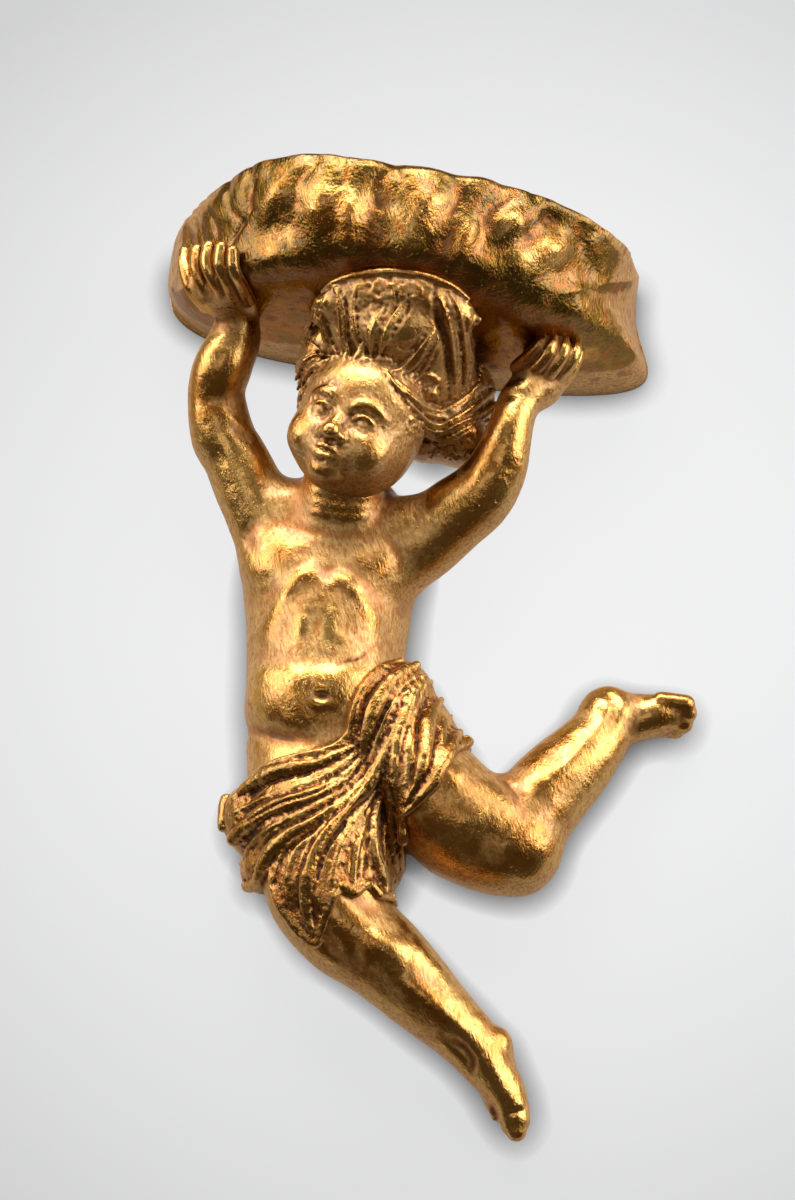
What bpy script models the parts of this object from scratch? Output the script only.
"""Gilt putto wall bracket: a nude infant in half relief, flat behind, raising a shell-like half basin.

Metres, +Z up. The flat back lies on the plane y = 0 and hangs on a wall; the figure stands out towards -Y.
Lengths below are in millimetres and written as (x, d, z): x to the viewer's right, d out from the wall,
z up. The origin is on the flat back behind the chest.
"""
import math

import bmesh
import bpy
import numpy as np
from mathutils import Matrix, Vector

MM = 0.001

# ---- driving dimensions -------------------------------------------------------------------------
RIM_Z = 191.0            # height of the basin's rim
BASIN_X = 22.0           # middle of the basin
BASIN_HALF_WIDTH = 130.0
BASIN_DEPTH = 138.0      # rim out from the wall
BASIN_DROP = 62.0        # rim down to the underside
BASIN_SAG = 8.0          # the underside hangs lower at the viewer's right
BASIN_FULLNESS_WALL = 4.0    # roundness of the section at the wall, more at the viewer's right
BASIN_FULLNESS_FRONT = 4.5   # and in front
BASIN_CHEEKS = (5.0, 1.5)    # and how much more between there and the wall, at the left and at the right
EAR = 14.5               # the ends swell below the rim at the wall, more at the viewer's right
TUCK = 1.0               # the rim turns in again above the widest place
RIM_BUMPS = ((64, 17, 7.5, 4.5), (108, 24, 0.0, -0.5), (143, 14, 12.0, -7.0))  # at, spread, out, up
BASIN_WALL = 7.0         # thickness of the basin's wall
BASIN_BACK = 6.0         # and of its flat back
BASIN_FLUTES = 9         # soft shell-like flutes round the rim
FLUTE_RISE = 1.6
VOXEL = 2.0              # fusing size for the clay of the figure
KEPT_SHARE = 0.052       # share of the fused skin's triangles that stays

# limbs as stations (x, d, z, radius across, radius in depth)
TRUNK = [
    (5, 25, 40, 24, 22), (2, 21, 25, 40, 30), (-1, 18, 5, 46, 38), (0, 16, -22, 44, 42),
    (1, 15, -48, 42.5, 43), (3.5, 14, -72, 42, 45), (7, 14, -95, 41.5, 42), (11, 14, -118, 41, 36),
    (14, 14, -142, 38, 30),
]
NECK = [(3, 32, 18, 37, 22), (3.5, 42, 32, 25, 20), (5, 52, 52, 20.5, 20)]
RIGHT_ARM = [
    (-28, 28, 16, 22.5, 22), (-41, 32, 35, 19.5, 20), (-55.5, 38, 60, 17.5, 18), (-63.5, 42, 72, 17.5, 17.5),
    (-68.5, 50, 92, 15.5, 15.5), (-65.5, 57, 107, 15.5, 16), (-61, 59, 122, 14, 14.5), (-61, 64, 134, 12, 12.5),
    (-65, 71, 142, 11.5, 11),
]
LEFT_ARM = [
    (23, 26, 11, 24.5, 23), (44, 33, 21, 22.5, 20), (62, 40, 34, 20, 19), (78, 48, 46.5, 18, 17.5),
    (87, 56, 62, 15, 15), (91, 60, 79, 12, 13), (94, 59, 94, 11.5, 12), (101, 56, 106, 12.5, 12),
]
RIGHT_LEG = [
    (5, 24, -112, 34, 32), (8, 26, -140, 32.5, 32), (13, 28, -164, 31, 30), (25.5, 28, -185, 26.5, 27),
    (38, 27, -194.5, 24, 25.5), (52.5, 25, -204, 22, 24), (72.5, 22, -220.5, 18.5, 21),
    (91.5, 19, -235.5, 15.5, 17), (103, 17, -246, 13.5, 14.5),
]
RIGHT_FOOT = [(102.5, 16, -245, 14, 14), (111, 15, -256, 11.5, 13), (117.5, 13, -266.5, 9.5, 11),
              (121, 12, -275, 7.5, 9)]
LEFT_LEG = [
    (44, 24, -92, 29, 30), (60, 26, -107, 28.5, 31), (78, 26, -124.5, 30, 31), (97, 24, -132, 29.5, 28),
    (111, 21, -139, 22.5, 24),
]
LEFT_SHIN = [
    (109, 21, -138, 20, 23), (116.5, 21, -121, 21.5, 23), (125, 20, -105, 22.5, 22), (139, 18, -87.5, 19.5, 19),
    (149, 16, -72, 16.5, 16.5), (153, 15, -63, 15, 15),
]
LEFT_FOOT = [(151, 15, -61, 13, 14), (163, 14, -61, 13.5, 13), (178, 14, -58.5, 11, 12), (189, 12, -57, 8.5, 9)]

HEAD_CENTRE = (13, 67, 75)
HEAD_TALL = 82.0              # chin to crown
HEAD_WIDE = 66.0
HEAD_DEEP = 70.0
HEAD_TILT = 20.0              # the crown leans towards the viewer's right
HEAD_BOW = 12.0               # and the face looks a little down


def reset():
    """Clear what the scene holds."""
    for item in list(bpy.data.objects):
        bpy.data.objects.remove(item, do_unlink=True)


def place(x, d, z):
    """A point of the figure in metres."""
    return Vector((x * MM, -d * MM, z * MM))


def smooth_path(stations, steps):
    """Stations rounded into a smooth run with the same ends (Catmull-Rom)."""
    pts = np.array(stations, dtype=float)
    ends = np.vstack([2 * pts[0] - pts[1], pts, 2 * pts[-1] - pts[-2]])
    run = []
    for i in range(len(pts) - 1):
        a, b, c, e = ends[i:i + 4]
        for k in range(steps):
            t = k / steps
            run.append(0.5 * (2 * b + (c - a) * t + (2 * a - 5 * b + 4 * c - e) * t * t
                              + (3 * b - a - 3 * c + e) * t ** 3))
    run.append(pts[-1])
    return run


def tube(bm, stations, sides=16, steps=3):
    """A closed round-ended solid carried along the stations."""
    run = smooth_path(stations, steps)
    centres = [place(*row[:3]) for row in run]
    sections = []
    count = len(run)
    for i in range(count):
        along = (centres[min(i + 1, count - 1)] - centres[max(i - 1, 0)]).normalized()
        out = Vector((0, -1, 0))
        side = along.cross(out).normalized()
        out = side.cross(along).normalized()
        sections.append((centres[i], along, side, out, run[i][3] * MM, run[i][4] * MM))
    rings = []

    def ring(centre, side, out, across, deep):
        verts = []
        for k in range(sides):
            a = 2 * math.pi * k / sides
            verts.append(bm.verts.new(centre + side * (across * math.cos(a)) + out * (deep * math.sin(a))))
        rings.append(verts)

    centre, along, side, out, across, deep = sections[0]
    for a in (75, 50, 25):
        a = math.radians(a)
        ring(centre - along * (0.8 * across * math.sin(a)), side, out, across * math.cos(a), deep * math.cos(a))
    for centre, along, side, out, across, deep in sections:
        ring(centre, side, out, across, deep)
    for a in (25, 50, 75):
        a = math.radians(a)
        ring(centre + along * (0.8 * across * math.sin(a)), side, out, across * math.cos(a), deep * math.cos(a))
    for low, high in zip(rings[:-1], rings[1:]):
        for k in range(sides):
            bm.faces.new((low[k], low[(k + 1) % sides], high[(k + 1) % sides], high[k]))
    bm.faces.new(list(reversed(rings[0])))
    bm.faces.new(rings[-1])


def ball(bm, centre, radii, tilt=0.0, turn=0.0):
    """An egg of clay: radii across, in depth and up; tilt leans its top to the viewer's right."""
    size = Matrix.Diagonal((radii[0] * MM, radii[1] * MM, radii[2] * MM, 1))
    lean = Matrix.Rotation(math.radians(tilt), 4, 'Y') @ Matrix.Rotation(math.radians(turn), 4, 'X')
    bmesh.ops.create_uvsphere(bm, u_segments=24, v_segments=16, radius=1.0,
                              matrix=Matrix.Translation(place(*centre)) @ lean @ size)


def ridge(bm, points, radius, flat=0.8, taper=0.55, sides=8):
    """A raised roll that thins towards its ends: a fold, a lock of hair, a finger."""
    rows = []
    last = len(points) - 1
    for i, (x, d, z) in enumerate(points):
        ends = abs(2 * i / last - 1)
        r = radius * (1 - (1 - taper) * ends * ends)
        rows.append((x, d, z, r, r * flat))
    tube(bm, rows, sides=sides, steps=3)


def figure():
    """The infant: trunk, limbs, head, hands, feet, hair and cloth, as overlapping closed rolls of clay."""
    bm = bmesh.new()
    tube(bm, TRUNK, sides=28)
    tube(bm, NECK)
    for limb in (RIGHT_ARM, LEFT_ARM, RIGHT_LEG, RIGHT_FOOT, LEFT_LEG, LEFT_SHIN, LEFT_FOOT):
        tube(bm, limb, sides=20)
    # shoulders, chest and belly
    ball(bm, (-23, 34, 36), (14, 16, 15))
    ball(bm, (35, 36, 30), (16, 15, 15), -20)
    ball(bm, (-19, 37, 1), (24, 20, 18), 14)
    ball(bm, (20, 37, 2), (24, 20, 18), -14)
    ball(bm, (4, 29, -66), (38, 33, 34))
    # heels, ankle bone, big toes
    ball(bm, (152.5, 15, -60.5), (14.5, 14, 15.5))
    ball(bm, (108, 19, -238), (8, 9, 8))
    # right foot toes, seen from the side of the big toe
    for x, d, z, r in ((121.5, 14, -281, 5.5), (116.5, 13, -279, 4.5), (112.5, 12, -274, 4.2), (109.5, 11, -268, 4)):
        ball(bm, (x, d, z), (r, r + 1, r + 3), -20)
    for x, d, z, r in ((193, 20, -53, 5), (194.5, 17, -57, 5), (193, 13, -62, 4.8), (189, 10, -65, 4.5)):
        ball(bm, (x, d, z), (r + 3, r, r), 10)
    head(bm)
    hands(bm)
    cloth(bm)
    return bm


def on_head(across, out, up):
    """A point given in the head's own upright axes, in the figure's measures."""
    bow = math.radians(HEAD_BOW)
    tilt = math.radians(HEAD_TILT)
    x = across * math.cos(tilt) + up * math.sin(tilt)
    rise = up * math.cos(tilt) - across * math.sin(tilt)
    d = out * math.cos(bow) + rise * math.sin(bow)
    z = rise * math.cos(bow) - out * math.sin(bow)
    return HEAD_CENTRE[0] + x, HEAD_CENTRE[1] + d, HEAD_CENTRE[2] + z


def face_ball(bm, across, out, up, radii):
    """An egg of clay set in the head's own axes."""
    ball(bm, on_head(across, out, up), radii, HEAD_TILT, HEAD_BOW)


def head(bm):
    """Bowed head with a calm child's face, its thick cap of locks, and the pad of hair under the basin."""
    wide = HEAD_WIDE / 2
    tall = HEAD_TALL / 2
    deep = HEAD_DEEP / 2
    face_ball(bm, 0, 0, 4, (wide, deep, tall - 4))
    face_ball(bm, 0, 9, -13, (wide * 0.84, deep * 0.78, tall * 0.66))
    for side in (-1, 1):
        face_ball(bm, 13 * side, 22, -15, (11, 9, 11))
        face_ball(bm, 11.5 * side, 28.5, -2.5, (6.5, 4.5, 4))
    face_ball(bm, 0, 31, -5, (3.2, 4.5, 9))
    face_ball(bm, 0, 33.5, -12.5, (4.6, 4.6, 3.8))
    face_ball(bm, 0, 29.5, -20.5, (7.5, 4, 3.6))
    face_ball(bm, 0, 24, -31, (8.5, 7.5, 7))
    face_ball(bm, 0, 24, 13, (22, 9, 14))
    # hair mass back to the wall, flaring out under the basin
    ball(bm, (26, 50, 114), (46, 49, 38), 8)
    ball(bm, (50, 34, 101), (32, 36, 33), 10)
    ball(bm, (28, 64, 133), (45, 50, 17))
    tube(bm, [(-20, 76, 131, 7, 7), (-12, 95, 133, 7, 7), (-2, 110, 135, 7, 7), (10, 117, 137, 7, 7),
              (24, 119, 138, 7, 7), (38, 119, 137, 7, 7), (52, 116, 135, 7, 7), (63, 109, 132, 7, 7),
              (71, 98, 129, 7, 7), (76, 84, 128, 7, 7)], sides=10)
    locks = (
        ([(22, 101, 99), (10, 101, 105), (-5, 92, 106), (-18, 80, 98), (-23, 68, 86)], 7),
        ([(20, 101, 104), (5, 101, 114), (-12, 92, 119), (-23, 76, 112)], 7.5),
        ([(18, 101, 104), (11, 103, 118), (1, 103, 130), (-6, 100, 136)], 7.5),
        ([(25, 101, 104), (26, 105, 118), (26, 110, 130), (25, 113, 137)], 6.5),
        ([(31, 101, 102), (39, 104, 116), (46, 106, 128), (49, 106, 136)], 7),
        ([(29, 101, 98), (43, 101, 104), (57, 98, 114), (66, 92, 126), (69, 86, 134)], 7.5),
        ([(26, 100, 93), (41, 100, 92), (59, 90, 97), (74, 74, 108), (82, 60, 121)], 7.5),
        ([(33, 95, 85), (47, 92, 83), (63, 80, 87), (77, 64, 98), (84, 48, 112)], 7.5),
        ([(41, 88, 78), (54, 80, 77), (66, 66, 82), (76, 52, 93)], 7.5),
        ([(46, 74, 75), (56, 66, 77), (66, 54, 83), (74, 40, 94)], 7),
        ([(-15, 84, 106), (-21, 72, 97), (-21, 62, 84), (-19, 54, 76)], 6),
    )
    for points, radius in locks:
        ridge(bm, points, radius)


def hands(bm):
    """Both hands curl up over the underside of the basin: palm, four fingers, and the thumb's edge."""
    ball(bm, (-71, 76, 143), (15, 13, 14), -12)
    ball(bm, (-62, 76, 137), (14, 16, 10), 0)
    right = (
        [(-77, 70, 135), (-84, 78, 141), (-89.5, 78, 154), (-91, 75, 164)],
        [(-71, 76, 134), (-76, 85, 138), (-81, 89, 149), (-82, 89, 159)],
        [(-65, 82, 133), (-69, 94, 138), (-74, 98, 147), (-74, 98, 157)],
        [(-59, 85, 133), (-62, 97, 137), (-66, 104, 144), (-66, 105, 154)],
        [(-51, 84, 133), (-54, 97, 136), (-58, 106, 141), (-59, 110, 150)],
    )
    ball(bm, (108, 57, 120), (14, 14, 13), 14)
    ball(bm, (104, 54, 109), (13, 12, 12), 0)
    left = (
        [(92, 60, 115), (99, 68, 119), (104, 73, 124), (105, 71, 132)],
        [(100, 64, 110), (106, 71, 115), (109, 74, 121), (110, 71, 130)],
        [(106, 62, 108), (112, 69, 113), (116, 72, 121), (115, 69, 131)],
        [(111, 58, 109), (118, 65, 115), (122, 67, 123), (121, 63, 133)],
        [(112, 50, 107), (119, 54, 115), (123, 56, 126), (121, 54, 134)],
    )
    for points in right + left:
        ridge(bm, points, 4.0)


def cloth(bm):
    """A loincloth gathered on the viewer's right hip, fanning down across both thighs."""
    ball(bm, (46, 26, -72), (18, 28, 28), -8)
    ball(bm, (34, 34, -78), (25, 27, 34), 28)
    ball(bm, (8, 30, -128), (36, 30, 34), 40)
    ball(bm, (20, 34, -148), (25, 26, 34), 0)
    folds = (
        ([(50, 50, -48), (32, 60, -76), (4, 59, -104), (-20, 42, -124), (-33, 22, -136)], 7),
        ([(52, 53, -58), (36, 65, -86), (8, 62, -114), (-16, 46, -138), (-32, 24, -152)], 7),
        ([(54, 55, -66), (38, 67, -94), (14, 64, -122), (-8, 52, -146), (-21, 32, -162)], 7),
        ([(50, 58, -76), (38, 68, -100), (20, 65, -130), (4, 55, -158), (-2, 42, -176)], 7),
        ([(46, 60, -86), (37, 68, -108), (25, 64, -138), (14, 55, -166), (10, 44, -187)], 7),
        ([(46, 60, -92), (41, 66, -114), (35, 62, -138), (30, 54, -158), (29, 42, -174)], 7),
        ([(50, 58, -94), (46, 62, -118), (44, 58, -138), (43, 50, -154), (44, 38, -168)], 6),
        ([(50, 48, -45), (56, 44, -60), (61, 38, -76), (66, 34, -92), (58, 40, -106)], 7),
        ([(50, 54, -56), (55, 52, -72), (58, 50, -88), (54, 52, -100), (46, 56, -110)], 6),
        ([(40, 46, -43), (22, 58, -66), (-4, 58, -90), (-26, 40, -108), (-36, 20, -118)], 6),
        ([(52, 26, -48), (60, 24, -64), (68, 20, -80), (68, 24, -96)], 6),
        ([(2, 52, -120), (-18, 42, -136), (-33, 26, -146), (-38, 16, -152)], 6),
        ([(6, 54, -134), (-10, 44, -152), (-22, 28, -164), (-27, 16, -169)], 6),
    )
    for points, radius in folds:
        ridge(bm, points, radius, taper=0.7)


def basin_point(turn, climb, inset, back):
    """A point of the basin: turn runs along the rim from wall to wall, climb from bottom (0) to rim (1)."""
    lift = 1 - (1 - climb) ** 2
    end = abs(math.cos(turn))
    fullness = (BASIN_FULLNESS_WALL - math.cos(turn) - BASIN_FULLNESS_FRONT) * end ** 3
    fullness += BASIN_CHEEKS[0 if math.cos(turn) > 0 else 1] * math.sin(2 * turn) ** 2
    power = 2.0 / (BASIN_FULLNESS_FRONT + fullness)
    angle = lift * math.pi / 2
    reach = math.sin(angle) ** power
    fall = math.cos(angle) ** power
    height = 1 - fall
    swell = FLUTE_RISE * math.cos(turn * BASIN_FLUTES) * height
    swell += EAR * (1 - 0.38 * math.cos(turn)) * math.sin(math.pi * lift) * end ** 6
    swell -= TUCK * height ** 6 * math.sin(turn)
    rise = 0.0
    for at, spread, out, up in RIM_BUMPS:
        near = math.exp(-((math.degrees(turn) - at) / spread) ** 2) * height ** 2
        swell += out * near
        rise += up * near
    half = (BASIN_HALF_WIDTH - inset + swell) * reach
    deep = (BASIN_DEPTH - inset + swell) * reach
    x = BASIN_X - half * math.cos(turn)
    d = back + (deep - back) * math.sin(turn)
    drop = BASIN_DROP - inset + BASIN_SAG * math.cos(turn) * -reach
    return x, d, RIM_Z + rise - drop * fall


def basin_solid(inset, back, behind, above):
    """The basin's outer body, or with an inset the hollow to take out of it."""
    bm = bmesh.new()
    turns = 48
    lifts = 10
    grid = []
    for j in range(1, lifts + 1):
        row = []
        for i in range(turns + 1):
            x, d, z = basin_point(math.pi * i / turns, j / lifts, inset, back)
            row.append(bm.verts.new(place(x, d, z)))
        grid.append(row)
    low = bm.verts.new(place(*basin_point(0.0, 0.0, inset, back)))
    if above:
        row = [bm.verts.new(v.co + Vector((0, 0, above * MM))) for v in grid[-1]]
        grid.append(row)
    for i in range(turns):
        bm.faces.new((low, grid[0][i + 1], grid[0][i]))
        for a, b in zip(grid[:-1], grid[1:]):
            bm.faces.new((a[i], a[i + 1], b[i + 1], b[i]))
    bm.faces.new(grid[-1])
    wall = [row[0] for row in reversed(grid)] + [low] + [row[-1] for row in grid]
    bm.faces.new(wall)
    for v in bm.verts:
        if v.co.y > -(back + 0.001) * MM:
            v.co.y += behind * MM
    return bm


def to_object(bm, name):
    """Put a body in the scene."""
    mesh = bpy.data.meshes.new(name)
    bmesh.ops.recalc_face_normals(bm, faces=bm.faces)
    bm.to_mesh(mesh)
    bm.free()
    item = bpy.data.objects.new(name, mesh)
    bpy.context.scene.collection.objects.link(item)
    return item


def cutter(item):
    """Keep a cutting body out of sight."""
    item.hide_render = True
    item.display_type = 'WIRE'
    return item


def combine(item, tool, name, operation):
    """Join another body to the figure, or take it out."""
    step = item.modifiers.new(name, 'BOOLEAN')
    step.operation = operation
    step.solver = 'EXACT'
    step.object = tool


def gilding():
    """Antique gold leaf."""
    mat = bpy.data.materials.new("gilding")
    mat.use_nodes = True
    shader = mat.node_tree.nodes["Principled BSDF"]
    shader.inputs["Base Color"].default_value = (0.62, 0.38, 0.12, 1)
    shader.inputs["Metallic"].default_value = 0.9
    shader.inputs["Roughness"].default_value = 0.32
    return mat


def main():
    reset()
    body = to_object(figure(), "putto_bracket")
    body.data.materials.append(gilding())

    fuse = body.modifiers.new("fuse", 'REMESH')
    fuse.mode = 'VOXEL'
    fuse.voxel_size = VOXEL * MM
    soften = body.modifiers.new("soften", 'SMOOTH')
    soften.factor = 0.5
    soften.iterations = 6
    thin = body.modifiers.new("thin", 'DECIMATE')
    thin.ratio = KEPT_SHARE

    bowl = cutter(to_object(basin_solid(0.0, 0.0, 12.0, 0.0), "basin_body"))
    combine(body, bowl, "basin", 'UNION')
    hollow = cutter(to_object(basin_solid(BASIN_WALL, BASIN_BACK, 0.0, 20.0), "basin_hollow"))
    combine(body, hollow, "basin_hollow", 'DIFFERENCE')
    block = bmesh.new()
    bmesh.ops.create_cube(block, size=1.2, matrix=Matrix.Translation((0, 0.6, 0)))
    back = cutter(to_object(block, "wall_plane"))
    combine(body, back, "flat_back", 'DIFFERENCE')


main()
